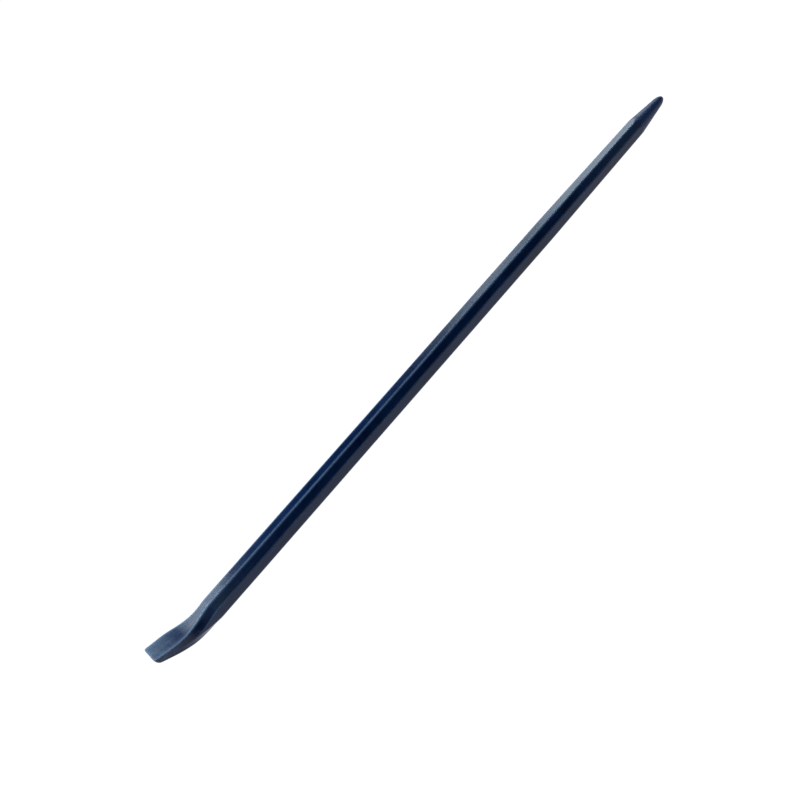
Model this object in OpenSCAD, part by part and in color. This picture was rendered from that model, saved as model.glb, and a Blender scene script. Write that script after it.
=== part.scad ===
// Pry bar: one forging, drawn from a length of octagonal steel stock.
// One end is flattened to a wedge and bent up as the blade. The shank narrows gently towards
// the other end, which is turned down to a blunt point.
// The bar lies along X, blade at -X and point at +X, resting on its bottom flat at z = 0.

/* [Stock] */
// Width of the octagonal stock, measured between opposite flats
across_flats = 18; // [14:0.5:32]
// Length of the finished bar, from the lip of the blade to the nose of the point
overall_length = 600; // [400:10:1200]
// Radius left on the long edges of the stock by rolling
edge_r = 1.1; // [0.4:0.1:2]

/* [Blade] */
// Length of the wedge that is forged flat, measured along the bar
wedge_length = 50; // [40:1:80]
// Thickness of the blade at its lip, before the underside is rounded off
lip_thickness = 4.6; // [3.5:0.1:7]
// Width of the blade at its widest, where the flat face stops spreading
blade_width = 17.8; // [15:0.2:26]
// Width of the blade at its lip, before the corners are rounded
lip_width = 16.6; // [14:0.2:26]
// Where the flat face stops spreading, measured from the lip
flare_end = 13; // [8:1:20]
// Angle that the blade is bent up by
bend_angle = 23.5; // [10:0.5:30]
// Radius of the bend, on the middle of the thickness
bend_radius = 46; // [30:1:70]
// Where the bend begins, measured from the lip
bend_start = 41; // [36:1:60]
// Radius that rounds the underside of the lip
lip_underside_r = 3.2; // [1:0.1:3.4]
// Radius that breaks the top edge of the lip
lip_top_r = 0.5; // [0.2:0.1:0.8]
// Radius of the two corners of the lip, seen from above
lip_corner_r = 2.2; // [0.5:0.1:3]

/* [Point] */
// Length over which the shank narrows, measured back from the nose
taper_length = 165; // [100:5:250]
// Width across flats of the narrowed shank where the turned point cuts into its flats
neck_across_flats = 15.4; // [12:0.2:18]
// Distance from the nose to that place
neck_position = 40; // [30:1:60]
// Half angle of the turned point
point_half_angle = 6.6; // [5:0.1:9]
// Largest radius of the rounded nose
nose_r = 4.4; // [3:0.1:6]
// Length over which the nose rounds off
nose_length = 11; // [5:0.5:20]

/* [Hidden] */

// Half the width of one facet of an octagon, for half its width across flats
facet_share = tan(22.5);
stock_r = across_flats / 2;
// The flat faces of the blade start to spread just inside the wedge
flare_start = wedge_length - 3;
// The side flats shrink from the full stock to a narrow land while the chamfers turn upright
side_fade_start = wedge_length + 4;
side_fade_end = wedge_length / 2;
land_share = 0.1;
// How far along the bar the bend's arc reaches, before the straight blade
bend_reach = bend_radius * sin(bend_angle);
// Steps round each long edge, round the lip and along the wedge
edge_steps = 3;
lip_steps = 6;
wedge_step = 2;
// The nose is an ellipse that meets the cone where their slopes agree
nose_sweep = atan(nose_r / (nose_length * tan(point_half_angle)));
nose_steps = 10;
// The turning tool stands clear of the blade and runs past both ends of the bar
clear_r = 2 * across_flats;
overrun = 5;
cone_end = nose_length * (1 - cos(nose_sweep))
         + (clear_r - nose_r * sin(nose_sweep)) / tan(point_half_angle);

// Eased step from 0 to 1 as u goes from a to b
function eased(a, b, u) =
    let (s = max(0, min(1, (u - a) / (b - a))))
    s * s * (3 - 2 * s);

// What a corner of radius r takes off at distance u from the end it rounds
function rounding(r, u) = u >= r ? 0 : r - sqrt(r * r - (r - u) * (r - u));

// Height of the middle of the section above the bar's axis, at distance u from the lip
function bend_rise(u) =
    let (s = bend_start - u)
    s <= 0 ? 0 :
    s <= bend_reach ? bend_radius - sqrt(bend_radius * bend_radius - s * s) :
    bend_radius * (1 - cos(bend_angle)) + (s - bend_reach) * tan(bend_angle);

// Half the width across flats of the stock, which narrows towards the point
function half_flats(u) =
    let (s = (u - (overall_length - taper_length)) / (taper_length - neck_position))
    stock_r - max(0, s) * (across_flats - neck_across_flats) / 2;

// Thickness of the wedge
function thickness(u) =
    u >= wedge_length ? 2 * half_flats(u) :
    lip_thickness + (across_flats - lip_thickness) * u / wedge_length;

// Half the width of the blade, which narrows a little from the end of the flare to the lip
function blade_half_width(u) =
    (blade_width - (blade_width - lip_width) * max(0, 1 - u / flare_end)) / 2;

// The four corners on one side of the section, from the top face down to the bottom face
function side_corners(u) =
    let (
        r = half_flats(u),
        top = bend_rise(u) + thickness(u) / 2 - rounding(lip_top_r, u),
        bottom = bend_rise(u) - thickness(u) / 2 + rounding(lip_underside_r, u),
        flare = eased(flare_start, flare_end, u),
        fade = eased(side_fade_start, side_fade_end, u),
        cut = rounding(lip_corner_r, u),
        blade = blade_half_width(u),
        face = facet_share * r + (blade - facet_share * r) * flare - cut,
        side = r + (blade - r) * flare - cut,
        middle = (top + bottom) / 2,
        land = facet_share * (top - bottom) / 2 * (1 - (1 - land_share) * fade)
    )
    [[face, top], [side, middle + land], [side, middle - land], [face, bottom]];

function unit(v) = v / norm(v);

// Points that round corner p between its neighbours a and b with the long-edge radius
function rounded_corner(a, p, b) =
    let (
        ua = unit(a - p),
        ub = unit(b - p),
        straightness = -ua * ub,
        shortest = min(norm(a - p), norm(b - p)),
        wanted = edge_r * sqrt(max(0, 1 - straightness * straightness)) / (1 + straightness),
        reach = min(max(wanted, 0.1 * shortest), 0.45 * shortest)
    )
    [for (k = [0 : edge_steps])
        let (s = k / edge_steps)
        (1 - s) * (1 - s) * (p + reach * ua) + 2 * s * (1 - s) * p + s * s * (p + reach * ub)];

// One ring of points round the bar, at distance u from the lip
function ring(u) =
    let (
        right = side_corners(u),
        corners = concat(right, [for (k = [3 : -1 : 0]) [-right[k][0], right[k][1]]]),
        n = len(corners)
    )
    [for (i = [0 : n - 1])
        for (p = rounded_corner(corners[(i + n - 1) % n], corners[i], corners[(i + 1) % n]))
            [u, p[0], p[1]]];

// Places of the rings: close together round the lip, even along the wedge, and then only
// where the taper starts and past the nose, because everything between is straight
stations = concat(
    [for (k = [0 : lip_steps - 1]) lip_underside_r * (1 - cos(90 * k / lip_steps))],
    [for (u = [lip_underside_r : wedge_step : side_fade_start - 1]) u],
    [side_fade_start, overall_length - taper_length, overall_length + overrun]
);

// Skin of a bar through a list of rings that all have the same number of points
module skin(rings) {
    n = len(rings[0]);
    m = len(rings);
    polyhedron(
        points = [for (r = rings) each r],
        faces = concat(
            [[for (i = [0 : n - 1]) i]],
            [[for (i = [n - 1 : -1 : 0]) (m - 1) * n + i]],
            [for (j = [0 : m - 2], i = [0 : n - 1])
                let (a = j * n + i, b = j * n + (i + 1) % n)
                each [[a, a + n, b], [b, a + n, b + n]]]
        )
    );
}

// Octagonal bar with its blade forged, before the point is turned
module forged_bar() {
    skin([for (u = stations) ring(u)]);
}

// Everything that lies inside the turned point, on the bar's axis, and well clear of the rest
module turned_envelope() {
    nose = [for (k = [0 : nose_steps])
        let (a = nose_sweep * k / nose_steps)
        [nose_r * sin(a), nose_length * (1 - cos(a))]];
    back = overall_length + overrun;
    translate([overall_length, 0, 0]) rotate([0, -90, 0])
        rotate_extrude($fn = 96)
            polygon(concat(nose, [[clear_r, cone_end], [clear_r, back], [0, back]]));
}

// The whole pry bar
module pry_bar() {
    color([0.05, 0.09, 0.19])
        translate([-overall_length / 2, 0, stock_r])
            intersection() {
                forged_bar();
                turned_envelope();
            }
}

pry_bar();
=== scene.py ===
import math

import bpy
from mathutils import Matrix, Vector


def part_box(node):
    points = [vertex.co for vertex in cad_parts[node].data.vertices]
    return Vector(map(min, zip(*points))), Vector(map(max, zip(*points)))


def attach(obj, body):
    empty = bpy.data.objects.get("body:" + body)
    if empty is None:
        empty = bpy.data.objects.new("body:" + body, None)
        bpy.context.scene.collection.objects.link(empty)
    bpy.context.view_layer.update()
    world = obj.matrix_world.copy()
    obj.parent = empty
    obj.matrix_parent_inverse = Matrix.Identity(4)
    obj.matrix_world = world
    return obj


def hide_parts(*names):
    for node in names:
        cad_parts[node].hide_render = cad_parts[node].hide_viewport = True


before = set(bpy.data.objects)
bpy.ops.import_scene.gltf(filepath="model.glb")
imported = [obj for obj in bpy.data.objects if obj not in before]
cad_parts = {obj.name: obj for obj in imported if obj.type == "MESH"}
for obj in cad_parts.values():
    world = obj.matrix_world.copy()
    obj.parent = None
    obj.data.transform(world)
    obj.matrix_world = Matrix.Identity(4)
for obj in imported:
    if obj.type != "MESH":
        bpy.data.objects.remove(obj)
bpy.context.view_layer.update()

# --- Camera -------------------------------------------------------------------------------------
# A studio camera above and to one side of the bar, rolled over so that the bar runs corner to
# corner in the frame, from the blade at lower left to the point at upper right.

bar_low, bar_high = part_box("pry_bar")
AXIS_HEIGHT = 0.009                   # of the shank's middle above the bottom flat
VIEW_ELEVATION = math.radians(43.46)  # round the bar's axis, from its side towards its top
VIEW_TILT = math.radians(14.3)        # of the line of sight towards the blade's end
VIEW_DISTANCE = 0.7139
AIM_ALONG_BAR = -0.0479               # where the line of sight meets the bar, from mid-length
AIM_BELOW_BAR = 0.00221               # how far past the bar's axis it passes
BAR_SLOPE = math.radians(48.75)       # of the bar in the frame, above horizontal
LENS_MM = 42.75

side_on = Vector((0, -math.cos(VIEW_ELEVATION), math.sin(VIEW_ELEVATION)))
across = Vector((0, -math.sin(VIEW_ELEVATION), -math.cos(VIEW_ELEVATION)))
bar_way = Vector((1, 0, 0))
towards_camera = math.cos(VIEW_TILT) * side_on - math.sin(VIEW_TILT) * bar_way
along = math.cos(VIEW_TILT) * bar_way + math.sin(VIEW_TILT) * side_on
right = math.cos(BAR_SLOPE) * along + math.sin(BAR_SLOPE) * across
up = math.sin(BAR_SLOPE) * along - math.cos(BAR_SLOPE) * across

camera = bpy.data.objects.new("studio_camera", bpy.data.cameras.new("studio_camera"))
camera.data.lens = LENS_MM
camera.data.clip_start = 0.01
camera.data.clip_end = 20.0
aim = Vector((AIM_ALONG_BAR, 0, AXIS_HEIGHT)) + AIM_BELOW_BAR * across
camera.matrix_world = (Matrix.Translation(aim + VIEW_DISTANCE * towards_camera)
                       @ Matrix((right, up, towards_camera)).transposed().to_4x4())
bpy.context.scene.collection.objects.link(camera)
bpy.context.scene.camera = camera

# --- Pry bar ------------------------------------------------------------------------------------
# One forging, drawn from octagonal carbon-steel stock. The blade is hammered to a wedge, spread to
# the full width of the stock and bent up; the other end is drawn down and turned to a blunt point.
# The whole bar is then hardened, blued and lacquered a dark navy.

# Sizes in metres and radians, as the forging drawing gives them
FORGING = {
    "Across Flats": 0.018,
    "Edge Radius": 0.0011,
    "Wedge Length": 0.050,
    "Lip Thickness": 0.0046,
    "Blade Width": 0.0178,
    "Lip Width": 0.0166,
    "Flare End": 0.013,
    "Bend Angle": math.radians(23.5),
    "Bend Radius": 0.046,
    "Bend Start": 0.041,
    "Lip Underside Radius": 0.0032,
    "Lip Top Radius": 0.0005,
    "Lip Corner Radius": 0.0022,
    "Taper Length": 0.165,
    "Neck Across Flats": 0.0154,
    "Neck Position": 0.040,
    "Point Half Angle": math.radians(6.6),
    "Nose Radius": 0.0044,
    "Nose Length": 0.011,
}
STATIONS = 560        # rings along the bar
FACET_POINTS = 12     # points round the bar for each facet, its rounded edge included
EDGE_STEPS = 5        # of them, the steps round the edge
END_CROWDING = 0.8    # how much closer the rings lie at the two ends, 0 to 1
BLADE_FORGED_TO = 0.075               # from the lip: where the hammering of the blade ends
HAMMER_FACE = 0.011                   # from one hammer mark to the next
HAMMER_FADE = 0.03                    # over which its marks grow faint beyond that
HAMMER_LEFT = 0.25                    # their share of depth on the shank
HAMMER_DEPTH = 0.0001                 # of the deepest mark
HAMMER_SEED = 7.0
SHARP_ANGLE = math.radians(40)        # between faces that stay sharp
FLARE_LEAD = 0.003                    # the sides start to spread this far inside the wedge's end
FADE_LEAD = 0.004                     # the sloping facets start to fade this far outside it
SIDE_CLOSING = 0.9                    # how far the side's two corners close on its middle there
LEAST_CUT = 0.1                       # of the shorter face beside it, that an edge takes up
MOST_CUT = 0.45
POINT_REACH = 0.12                    # from the nose: nothing farther off is turned
POINT_BLEND = 0.00012                 # how softly the facets run into the turned point
TURNED_DEPTH = 0.0002                 # of a cut that counts as fully turned
WELD = 2e-6                           # points closer than this become one


class Sum:
    """A number worked out by nodes, so that the sums of a tree read as plain sums."""

    def __init__(self, tree, socket):
        self.tree = tree
        self.socket = socket

    def op(self, operation, *others):
        node = self.tree.nodes.new("ShaderNodeMath")
        node.operation = operation
        for slot, value in zip(node.inputs, (self, *others)):
            if isinstance(value, Sum):
                self.tree.links.new(value.socket, slot)
            else:
                slot.default_value = value
        return Sum(self.tree, node.outputs[0])

    def __add__(self, other):
        return self.op("ADD", other)

    def __sub__(self, other):
        return self.op("SUBTRACT", other)

    def __rsub__(self, other):
        return (self * -1) + other

    def __mul__(self, other):
        return self.op("MULTIPLY", other)

    def __truediv__(self, other):
        return self.op("DIVIDE", other)

    __radd__ = __add__
    __rmul__ = __mul__

    def at_least(self, other):
        return self.op("MAXIMUM", other)

    def at_most(self, other):
        return self.op("MINIMUM", other)

    def root(self):
        return self.at_least(0.0).op("SQRT")

    def over(self, other):
        """1 where this is more than the other, else 0."""
        return self.op("GREATER_THAN", other)

    def choose(self, yes, no):
        """yes where this is 1, no where it is 0."""
        return no + self * (yes - no)


def eased(a, b, u):
    """Eased step from 0 to 1 as u goes from a to b."""
    s = ((u - a) / (b - a)).at_least(0.0).at_most(1.0)
    return s * s * (3.0 - 2.0 * s)


def rounding(radius, u):
    """What a corner of that radius takes off at distance u from the end it rounds."""
    left = (radius - u).at_least(0.0)
    return u.over(radius).choose(0.0 * u, radius - (radius * radius - left * left).root())


def inside(value, low, high):
    """For whole numbers: 1 where low < value < high, else 0."""
    return value.over(low) * (1.0 - value.over(high - 0.5))


def forging_tree():
    """The tree that makes the bar's skin from a plain tube, ring by ring."""
    tree = bpy.data.node_groups.new("forged_bar", "GeometryNodeTree")
    sockets = tree.interface
    sockets.new_socket("Mesh", in_out="OUTPUT", socket_type="NodeSocketGeometry")
    sockets.new_socket("Length", in_out="INPUT", socket_type="NodeSocketFloat")
    for name in FORGING:
        sockets.new_socket(name, in_out="INPUT", socket_type="NodeSocketFloat")
    for name in ("Hammer Depth", "Seed"):
        sockets.new_socket(name, in_out="INPUT", socket_type="NodeSocketFloat")
    for name in ("Stations", "Ring Points"):
        sockets.new_socket(name, in_out="INPUT", socket_type="NodeSocketInt")
    sockets.new_socket("Material", in_out="INPUT", socket_type="NodeSocketMaterial")
    given = tree.nodes.new("NodeGroupInput")
    link = tree.links.new

    def size(name):
        return Sum(tree, given.outputs[name])

    # A closed tube, one unit long and one unit in radius, that the rings are taken from
    tube = tree.nodes.new("GeometryNodeMeshCylinder")
    tube.inputs["Radius"].default_value = 1.0
    tube.inputs["Depth"].default_value = 1.0
    link(given.outputs["Ring Points"], tube.inputs["Vertices"])
    link(given.outputs["Stations"], tube.inputs["Side Segments"])
    place = tree.nodes.new("ShaderNodeSeparateXYZ")
    link(tree.nodes.new("GeometryNodeInputPosition").outputs[0], place.inputs[0])
    tube_x, tube_y, tube_z = (Sum(tree, place.outputs[axis]) for axis in "XYZ")

    # Distance from the lip of each ring, and from the nose
    length = size("Length")
    share = tube_z + 0.5
    wave = (share * math.tau).op("SINE") * (END_CROWDING / math.tau)
    u = length * (share - wave)
    to_nose = length - u

    # The same rules as the forging drawing
    facet = math.tan(math.pi / 8)
    stock = size("Across Flats") * 0.5
    narrowing = (size("Across Flats") - size("Neck Across Flats")) * 0.5
    taper = (size("Taper Length") - to_nose) / (size("Taper Length") - size("Neck Position"))
    half_flats = stock - taper.at_least(0.0) * narrowing
    wedge = size("Lip Thickness") + (
        (size("Across Flats") - size("Lip Thickness")) * u / size("Wedge Length"))
    thickness = u.over(size("Wedge Length")).choose(2.0 * half_flats, wedge)

    bend = size("Bend Radius")
    into_bend = (size("Bend Start") - u).at_least(0.0)
    reach = bend * size("Bend Angle").op("SINE")
    on_arc = into_bend.at_most(reach)
    rise = (bend - (bend * bend - on_arc * on_arc).root()
            + (into_bend - reach).at_least(0.0) * size("Bend Angle").op("TANGENT"))

    top = rise + thickness * 0.5 - rounding(size("Lip Top Radius"), u)
    bottom = rise - thickness * 0.5 + rounding(size("Lip Underside Radius"), u)
    flare = eased(size("Wedge Length") - FLARE_LEAD, size("Flare End"), u)
    fade = eased(size("Wedge Length") + FADE_LEAD, size("Wedge Length") * 0.5, u)
    cut = rounding(size("Lip Corner Radius"), u)
    lip_loss = (size("Blade Width") - size("Lip Width")) * 0.5
    blade = size("Blade Width") * 0.5 - lip_loss * (1.0 - u / size("Flare End")).at_least(0.0)
    face = facet * half_flats + (blade - facet * half_flats) * flare - cut
    side = half_flats + (blade - half_flats) * flare - cut
    middle = (top + bottom) * 0.5
    land = facet * (top - bottom) * 0.5 * (1.0 - SIDE_CLOSING * fade)

    # Which corner of the octagon a point belongs to, and how far on from it the point lies
    turn = tube_y.op("ARCTAN2", tube_x) / math.tau
    number = (turn * (8 * FACET_POINTS)).op("ROUND")
    number = number.op("FLOORED_MODULO", 8.0 * FACET_POINTS)
    corner_number = (number / FACET_POINTS + 1e-4).op("FLOOR")
    step = number - corner_number * FACET_POINTS

    def pick(which, choices):
        """The choice whose place in the list is which."""
        node = tree.nodes.new("GeometryNodeIndexSwitch")
        node.data_type = "FLOAT"
        while len(node.index_switch_items) < len(choices):
            node.index_switch_items.new()
        whole = tree.nodes.new("FunctionNodeFloatToInt")
        link(which.socket, whole.inputs[0])
        link(whole.outputs[0], node.inputs["Index"])
        for slot, choice in zip(node.inputs[1:], choices):
            link(choice.socket, slot)
        return Sum(tree, node.outputs[0])

    minus_face, minus_side = face * -1.0, side * -1.0
    high, low = middle + land, middle - land
    across_choices = (side, side, face, minus_face, minus_side, minus_side, minus_face, face)
    upward_choices = (low, high, top, top, high, low, bottom, bottom)

    def corner(offset):
        which = (corner_number + float(offset)).op("FLOORED_MODULO", 8.0)
        return pick(which, across_choices), pick(which, upward_choices)

    def toward(p, q):
        """The direction from p to q, and how far apart they are."""
        dy, dz = q[0] - p[0], q[1] - p[1]
        gap = (dy * dy + dz * dz).root()
        return (dy / gap, dz / gap), gap

    def edge_arc(a, p, b):
        """Where the rounding of corner p starts and ends, between its neighbours a and b."""
        back, back_gap = toward(p, a)
        on, on_gap = toward(p, b)
        straightness = (back[0] * on[0] + back[1] * on[1]) * -1.0
        shortest = back_gap.at_most(on_gap)
        wanted = size("Edge Radius") * (
            (1.0 - straightness * straightness).root() / (1.0 + straightness))
        cut_back = wanted.at_least(shortest * LEAST_CUT).at_most(shortest * MOST_CUT)
        start = tuple(p[i] + cut_back * back[i] for i in (0, 1))
        end = tuple(p[i] + cut_back * on[i] for i in (0, 1))
        return start, end

    before, here, after, beyond = (corner(offset) for offset in (-1, 0, 1, 2))
    arc_start, arc_end = edge_arc(before, here, after)
    next_start, _ = edge_arc(here, after, beyond)
    s = (step / EDGE_STEPS).at_most(1.0)
    on_flat = ((step - EDGE_STEPS) / (FACET_POINTS - EDGE_STEPS)).at_least(0.0)
    point = []
    for i in (0, 1):
        arc = ((1.0 - s) * (1.0 - s) * arc_start[i] + 2.0 * s * (1.0 - s) * here[i]
               + s * s * arc_end[i])
        point.append(arc + on_flat * (next_start[i] - arc_end[i]))

    # The turned point takes off whatever lies outside its cone and nose
    slope = size("Point Half Angle").op("TANGENT")
    nose_r, nose_length = size("Nose Radius"), size("Nose Length")
    sweep = (nose_r / (nose_length * slope)).op("ARCTANGENT")
    meet = nose_length * (1.0 - sweep.op("COSINE"))
    nose_part = 1.0 - to_nose.at_most(meet) / nose_length
    nose = nose_r * (1.0 - nose_part * nose_part).root()
    turned = nose + (to_nose - meet).at_least(0.0) * slope
    from_axis = (point[0] * point[0] + point[1] * point[1]).root()
    kept = from_axis.op("SMOOTH_MIN", turned, POINT_BLEND).at_least(0.0)
    past_point = to_nose.over(POINT_REACH)
    shrink = past_point.choose(0.0 * u + 1.0, kept / from_axis.at_least(1e-6))

    # Marks that the finish follows: where the lathe has cut, and where the facets meet
    cut_away = past_point.choose(0.0 * u, (from_axis - turned) / TURNED_DEPTH)
    cut_away = cut_away.at_least(0.0).at_most(1.0)
    outside_arc = (step - EDGE_STEPS).at_least(0.0)
    arris = (1.0 - 0.5 * (outside_arc + 1.0).at_most(2.0)) + 0.5 * inside(step, 0, EDGE_STEPS)
    marks = {"turned": cut_away, "arris": arris * (1.0 - cut_away)}
    skin = tube.outputs["Mesh"]
    for name, mark in marks.items():
        store = tree.nodes.new("GeometryNodeStoreNamedAttribute")
        store.data_type = "FLOAT"
        store.domain = "POINT"
        store.inputs["Name"].default_value = name
        link(skin, store.inputs["Geometry"])
        link(mark.socket, store.inputs["Value"])
        skin = store.outputs["Geometry"]

    position = tree.nodes.new("ShaderNodeCombineXYZ")
    link((u - length * 0.5).socket, position.inputs["X"])
    link((point[0] * shrink).socket, position.inputs["Y"])
    link((point[1] * shrink + stock).socket, position.inputs["Z"])
    shaped = tree.nodes.new("GeometryNodeSetPosition")
    link(skin, shaped.inputs["Geometry"])
    link(position.outputs[0], shaped.inputs["Position"])
    closed = tree.nodes.new("GeometryNodeMergeByDistance")
    closed.inputs["Distance"].default_value = WELD
    link(shaped.outputs[0], closed.inputs["Geometry"])

    # Shallow hammer marks: dents only, deepest on the blade and least on the turned point
    from_lip = tube_x + length * 0.5        # the same node, read on the shaped skin
    on_blade = eased(BLADE_FORGED_TO + HAMMER_FADE, BLADE_FORGED_TO, from_lip)
    worked = HAMMER_LEFT + (1.0 - HAMMER_LEFT) * on_blade
    worked = worked * eased(length - size("Neck Position"), length - size("Taper Length"), from_lip)
    dents = tree.nodes.new("ShaderNodeTexNoise")
    dents.noise_dimensions = "4D"
    dents.inputs["Scale"].default_value = 1.0 / HAMMER_FACE
    dents.inputs["Detail"].default_value = 1.5
    link(given.outputs["Seed"], dents.inputs["W"])
    depth = Sum(tree, dents.outputs[0]).op("MULTIPLY_ADD", 1.8, -0.4).at_least(0.0).at_most(1.0)
    inward = tree.nodes.new("ShaderNodeVectorMath")
    inward.operation = "SCALE"
    link(tree.nodes.new("GeometryNodeInputNormal").outputs[0], inward.inputs[0])
    link((depth * worked * size("Hammer Depth") * -1.0).socket, inward.inputs["Scale"])
    hammered = tree.nodes.new("GeometryNodeSetPosition")
    link(closed.outputs[0], hammered.inputs["Geometry"])
    link(inward.outputs[0], hammered.inputs["Offset"])

    # Smooth all over, but for the sharp rim of the lip's end
    smooth = tree.nodes.new("GeometryNodeSetShadeSmooth")
    link(hammered.outputs[0], smooth.inputs["Geometry"])
    rim = tree.nodes.new("GeometryNodeSetShadeSmooth")
    rim.domain = "EDGE"
    bend_across = Sum(tree, tree.nodes.new("GeometryNodeInputMeshEdgeAngle").outputs[0])
    link(smooth.outputs[0], rim.inputs["Geometry"])
    link(bend_across.over(SHARP_ANGLE).socket, rim.inputs["Selection"])
    rim.inputs["Shade Smooth"].default_value = False
    real = tree.nodes.new("GeometryNodeRealizeInstances")
    link(rim.outputs[0], real.inputs["Geometry"])
    finish = tree.nodes.new("GeometryNodeSetMaterial")
    link(real.outputs[0], finish.inputs["Geometry"])
    link(given.outputs["Material"], finish.inputs["Material"])
    link(finish.outputs[0], tree.nodes.new("NodeGroupOutput").inputs[0])
    return tree


def forged(name, tree, inputs):
    """Runs a tree with its inputs set by name, and gives its result as a plain mesh object."""
    holder = bpy.data.objects.new(name + "_maker", bpy.data.meshes.new(name + "_maker"))
    bpy.context.scene.collection.objects.link(holder)
    modifier = holder.modifiers.new(name, "NODES")
    modifier.node_group = tree
    for socket in tree.interface.items_tree:
        if socket.in_out == "INPUT" and socket.name in inputs:
            modifier[socket.identifier] = inputs[socket.name]
    depsgraph = bpy.context.evaluated_depsgraph_get()
    mesh = bpy.data.meshes.new_from_object(holder.evaluated_get(depsgraph))
    bpy.data.objects.remove(holder)
    piece = bpy.data.objects.new(name, mesh)
    bpy.context.scene.collection.objects.link(piece)
    return piece


DEEP_NAVY = (0.0012, 0.0078, 0.036, 1)
NAVY = (0.0042, 0.0185, 0.068, 1)
WORN_AND_HIGHLIT_NAVY = (0.10, 0.16, 0.25, 1)      # where the lacquer is rubbed thin, and painted highlight along the upward arrises
PALE_WEAR_AND_HIGHLIGHT = (0.24, 0.32, 0.45, 1)      # where the blade's own arrises are worn most, and painted highlight along their upper edge
BARE_STEEL = (0.32, 0.37, 0.43, 1)
LIT_POINT_BLUE = (0.009, 0.030, 0.098, 1)  # on the turned point: painted a shade lighter than the facets, for the light it catches

# Spots and relief of the finish, in metres
MOTTLE_SIZE = 0.022
CLOUD_SIZE = 0.0045
SPECKLE_SIZE = 0.0014
STREAK_SIZE = 0.0016
PEEL_SIZE = 0.0022
WORN_PATCH_SIZE = 0.009
HAIRLINE_SPACING = 0.012
RING_PITCH = 0.0013
PEEL_HEIGHT = 1.6e-5
STREAK_HEIGHT = 1.2e-5
SPECKLE_HEIGHT = 5e-6
RING_HEIGHT = 5e-6
PIT_DEPTH = 9e-5
SCRATCH_DEPTH = 8e-6
PIT_CELLS_PER_METRE = 170.0
CELLS_WITHOUT_PIT = 0.82              # their share
SATIN = 0.24                          # the lacquer's roughness before any wear
LACQUER_IOR = 1.33


def placed(tree, kind, **inputs):
    """Adds a node; each keyword is an input's value, or the socket or sum that feeds it."""
    node = tree.nodes.new(kind)
    for name, value in inputs.items():
        slot = node.inputs[name.replace("_", " ")]
        value = value.socket if isinstance(value, Sum) else value
        if isinstance(value, bpy.types.NodeSocket):
            tree.links.new(value, slot)
        else:
            slot.default_value = value
    return node


def mixed(tree, amount, colour, other):
    """The first colour where amount is 0 and the other where it is 1."""
    mix = tree.nodes.new("ShaderNodeMix")
    mix.data_type = "RGBA"
    tree.links.new(amount.socket, mix.inputs[0])
    for slot, value in ((mix.inputs[6], colour), (mix.inputs[7], other)):
        if isinstance(value, bpy.types.NodeSocket):
            tree.links.new(value, slot)
        else:
            slot.default_value = value
    return mix.outputs[2]


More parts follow.
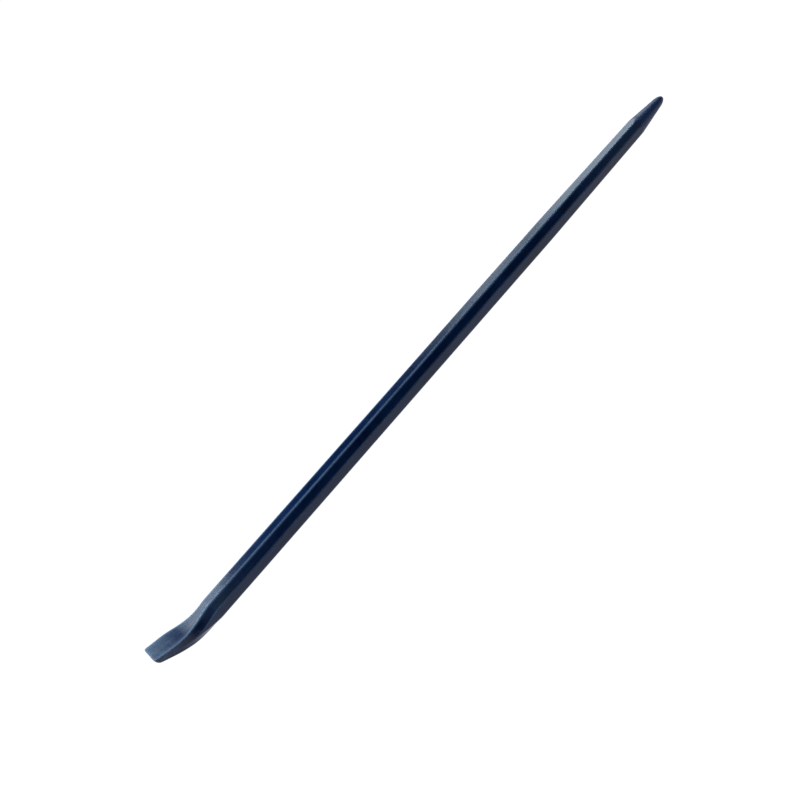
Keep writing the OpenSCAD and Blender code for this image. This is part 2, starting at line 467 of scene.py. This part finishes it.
def blued_and_lacquered():
    """Dark navy lacquer over forged steel, rubbed along the arrises and at the working ends, with
    painted highlights on the upward arrises and a painted lighter tone on the turned point.
    """
    material = bpy.data.materials.new("blued_steel")
    material.use_nodes = True
    tree = material.node_tree
    shader = tree.nodes["Principled BSDF"]
    on_bar = tree.nodes.new("ShaderNodeTexCoord").outputs["Object"]

    def mark(name):
        attribute = tree.nodes.new("ShaderNodeAttribute")
        attribute.attribute_name = name
        return Sum(tree, attribute.outputs["Fac"])

    def noise(spot, detail=2.0, stretch=None, turn=0.0, **more):
        """Noise from 0 to 1 with spots of that size in metres, drawn out along the bar."""
        where = on_bar
        if stretch:
            where = placed(tree, "ShaderNodeMapping", Vector=on_bar, Scale=(1 / stretch, 1, 1),
                           Rotation=(0, 0, turn)).outputs[0]
        field = placed(tree, "ShaderNodeTexNoise", Vector=where, Scale=1 / spot, Detail=detail, **more)
        return Sum(tree, field.outputs[0])

    def stepped(value, low, high):
        """0 below low, 1 above high, and even between."""
        return ((value - low) / (high - low)).at_least(0.0).at_most(1.0)

    apart = placed(tree, "ShaderNodeSeparateXYZ", Vector=on_bar)
    from_lip = Sum(tree, apart.outputs["X"]) - bar_low.x
    facing = placed(tree, "ShaderNodeSeparateXYZ",
                    Vector=tree.nodes.new("ShaderNodeNewGeometry").outputs["Normal"])
    facing_up = Sum(tree, facing.outputs["Z"])
    flat_face = stepped(facing_up.op("ABSOLUTE"), 0.45, 0.85)
    arris, turned = mark("arris"), mark("turned")

    def near_lip(full, none):
        """1 nearer the lip than full, 0 farther than none, and even between."""
        return stepped(from_lip * -1.0, -none, -full)

    mottle = noise(MOTTLE_SIZE, 3.0, Distortion=0.4)
    cloud = noise(CLOUD_SIZE, 2.0)
    speckle = noise(SPECKLE_SIZE, 2.0)
    drawn = noise(STREAK_SIZE, 2.0, stretch=30)
    peel = noise(PEEL_SIZE, 1.0)

    # Colour: navy in soft clouds, with faint lengthwise streaks
    tone = stepped(mottle * 0.55 + cloud * 0.25 + drawn * 0.20, 0.36, 0.64)
    colour = mixed(tree, tone, DEEP_NAVY, NAVY)

    # Wear and painted highlight: a broken line along each arris, painted lighter where it faces up
    # to stand in for the highlight there, then the lip, and a few rubbed patches of the blade
    patchy = stepped(noise(WORN_PATCH_SIZE, 3.0, stretch=4) * 0.6 + speckle * 0.4, 0.40, 0.58)
    upward = stepped(facing_up, 0.20, 0.80)
    # Painted highlight: arrises facing up are coloured lighter, as well as worn
    rubbed_and_highlit = arris * (0.12 + 0.88 * upward) * (0.6 + 0.4 * patchy)
    lip = near_lip(0.001, 0.022)
    blade = near_lip(0.004, 0.040)
    blade_rub = blade * blade * (0.35 + 0.65 * patchy) * (0.12 + 0.43 * flat_face)
    thin_and_highlit = rubbed_and_highlit.at_least(blade_rub)
    colour = mixed(tree, thin_and_highlit, colour, WORN_AND_HIGHLIT_NAVY)
    # Painted highlight with some wear: the blade's upward arrises are coloured paler still
    blade_arris_wear_and_highlight = arris * near_lip(0.055, 0.080) * upward
    colour = mixed(tree, blade_arris_wear_and_highlight * 0.4, colour, PALE_WEAR_AND_HIGHLIGHT)
    bare = arris * lip * 0.4 + near_lip(0.0004, 0.0022) * 0.5
    bare = bare.at_most(1.0) * (0.5 + 0.5 * patchy) * 0.5
    colour = mixed(tree, bare, colour, BARE_STEEL)

    # Hairline scratches, mostly on the blade
    hair = noise(HAIRLINE_SPACING, 2.0, stretch=14, turn=0.12)
    line = 1.0 - stepped((hair - 0.5).op("ABSOLUTE"), 0.0, 0.006)
    scratch = line * (0.15 + 0.85 * near_lip(0.02, 0.06)) * patchy
    colour = mixed(tree, scratch * 0.35, colour, WORN_AND_HIGHLIT_NAVY)

    # Pits of the forging scale, here and there
    cells = placed(tree, "ShaderNodeTexVoronoi", Vector=on_bar, Scale=PIT_CELLS_PER_METRE)
    chance = Sum(tree, placed(
        tree, "ShaderNodeSeparateXYZ", Vector=cells.outputs["Color"]).outputs["X"])
    middle = 1.0 - stepped(Sum(tree, cells.outputs["Distance"]), 0.06, 0.16)
    pit = middle * chance.over(CELLS_WITHOUT_PIT)
    colour = mixed(tree, pit * 0.6, colour, DEEP_NAVY)

    # The turned point is duller than the rolled facets, and painted a shade lighter for the light that
    # falls on it
    colour = mixed(tree, turned * (0.9 + 0.1 * patchy), colour, LIT_POINT_BLUE)

    # Roughness: satin, duller where it is rubbed or pitted, and dullest on the turned point
    rough = SATIN + (mottle - 0.5) * 0.16 + (drawn - 0.5) * 0.14 + (speckle - 0.5) * 0.10
    rough = rough + thin_and_highlit * 0.08 + pit * 0.15 + turned * 0.26
    rough = rough + near_lip(0.045, 0.075) * 0.07

    # Relief in metres: orange peel, draw lines, turning rings, pits and scratches
    rings = ((from_lip * (math.tau / RING_PITCH)).op("SINE") + cloud) * turned
    relief = (peel * PEEL_HEIGHT + drawn * STREAK_HEIGHT + speckle * SPECKLE_HEIGHT
              + rings * RING_HEIGHT - pit * PIT_DEPTH - scratch * SCRATCH_DEPTH)
    bump = placed(tree, "ShaderNodeBump", Height=relief, Distance=1.0, Strength=1.0)

    tree.links.new(colour, shader.inputs["Base Color"])
    tree.links.new(rough.socket, shader.inputs["Roughness"])
    tree.links.new(bare.socket, shader.inputs["Metallic"])
    tree.links.new(bump.outputs[0], shader.inputs["Normal"])
    shader.inputs["IOR"].default_value = LACQUER_IOR
    return material


pry_bar = forged("pry_bar_forging", forging_tree(), {
    **FORGING,
    "Length": bar_high.x - bar_low.x,
    "Hammer Depth": HAMMER_DEPTH,
    "Seed": HAMMER_SEED,
    "Stations": STATIONS,
    "Ring Points": 8 * FACET_POINTS,
    "Material": blued_and_lacquered(),
})
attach(pry_bar, "root")
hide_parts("pry_bar")

# --- Floor --------------------------------------------------------------------------------------
# A plain sheet of white paper, lit evenly from within, so that it shows no shadow and the bar
# mirrors it evenly. Its own colour is so dark that the lamps hardly mark the glow.

FLOOR_HALF = 6.0
PAPER_GLOW = 1.02
PAPER_COLOUR = (0.02, 0.02, 0.02, 1)
WHITE = (1, 1, 1, 1)
floor_mesh = bpy.data.meshes.new("floor")
floor_mesh.from_pydata(
    [(x * FLOOR_HALF, y * FLOOR_HALF, 0.0) for x, y in ((-1, -1), (1, -1), (1, 1), (-1, 1))],
    [], [(0, 1, 2, 3)])
floor = bpy.data.objects.new("floor", floor_mesh)
bpy.context.scene.collection.objects.link(floor)
paper = bpy.data.materials.new("studio_paper")
paper.use_nodes = True
paper_shader = paper.node_tree.nodes["Principled BSDF"]
paper_shader.inputs["Base Color"].default_value = PAPER_COLOUR
paper_shader.inputs["Roughness"].default_value = 0.9
paper_shader.inputs["Specular IOR Level"].default_value = 0.0
paper_shader.inputs["Emission Color"].default_value = WHITE
paper_shader.inputs["Emission Strength"].default_value = PAPER_GLOW
floor_mesh.materials.append(paper)

# --- Lights -------------------------------------------------------------------------------------
# Soft studio light: three large diffusers behind the bar and four small cards by its ends, in a
# dim bluish room. The camera sees white paper where it would see the room.

ROOM_COLOUR = (0.25, 0.6, 1.5, 1)
ROOM_GLOW = 0.06
COOL = (0.80, 0.96, 1.04)
BLUE_FILL = (0.5, 0.85, 1.2)
world = bpy.data.worlds.new("studio")
world.use_nodes = True
room = world.node_tree
dim = room.nodes["Background"]
dim.inputs["Color"].default_value = ROOM_COLOUR
dim.inputs["Strength"].default_value = ROOM_GLOW
pale = room.nodes.new("ShaderNodeBackground")
pale.inputs["Color"].default_value = WHITE
pale.inputs["Strength"].default_value = PAPER_GLOW
sight = room.nodes.new("ShaderNodeLightPath")
either = room.nodes.new("ShaderNodeMixShader")
room.links.new(sight.outputs["Is Camera Ray"], either.inputs["Fac"])
room.links.new(dim.outputs[0], either.inputs[1])
room.links.new(pale.outputs[0], either.inputs[2])
room.links.new(either.outputs[0], room.nodes["World Output"].inputs["Surface"])
bpy.context.scene.world = world
bpy.context.scene.view_settings.view_transform = "Standard"


def diffuser(name, centre, faces, width, height, brightness, colour):
    """A soft box: a lit rectangle at centre that faces the given point."""
    light = bpy.data.lights.new(name, "AREA")
    light.shape = "RECTANGLE"
    light.size = width
    light.size_y = height
    light.color = colour
    light.energy = brightness * math.pi * width * height
    box = bpy.data.objects.new(name, light)
    box.location = centre
    box.rotation_euler = (Vector(faces) - Vector(centre)).to_track_quat("-Z", "Y").to_euler()
    box.visible_camera = False
    bpy.context.scene.collection.objects.link(box)


# Each one's name, centre, the point it faces, width, height, brightness and colour
diffuser("right_back_box", (0.97, 0.62, 0.56), (0.20, 0, 0), 0.66, 0.70, 6.6, COOL)
diffuser("middle_back_box", (0.50, 0.77, 0.66), (0.08, 0, 0), 0.17, 0.75, 5.6, COOL)
diffuser("left_back_box", (-0.92, 0.62, 0.55), (-0.20, 0, 0), 1.0, 0.9, 8.0, COOL)
diffuser("bend_card", (-0.290, 0.25, 0.25), (-0.28, 0, 0.01), 0.10, 0.12, 5.9, COOL)
diffuser("lip_card", (-0.262, 0.144, 0.15), (-0.28, 0, 0.02), 0.05, 0.06, 6.0, COOL)
diffuser("front_card", (-0.282, -0.245, 0.27), (-0.26, 0, 0.01), 0.055, 0.08, 3.6, BLUE_FILL)
diffuser("point_card", (0.60, -0.26, 0.29), (0.27, 0, 0.01), 0.26, 0.20, 0.5, BLUE_FILL)
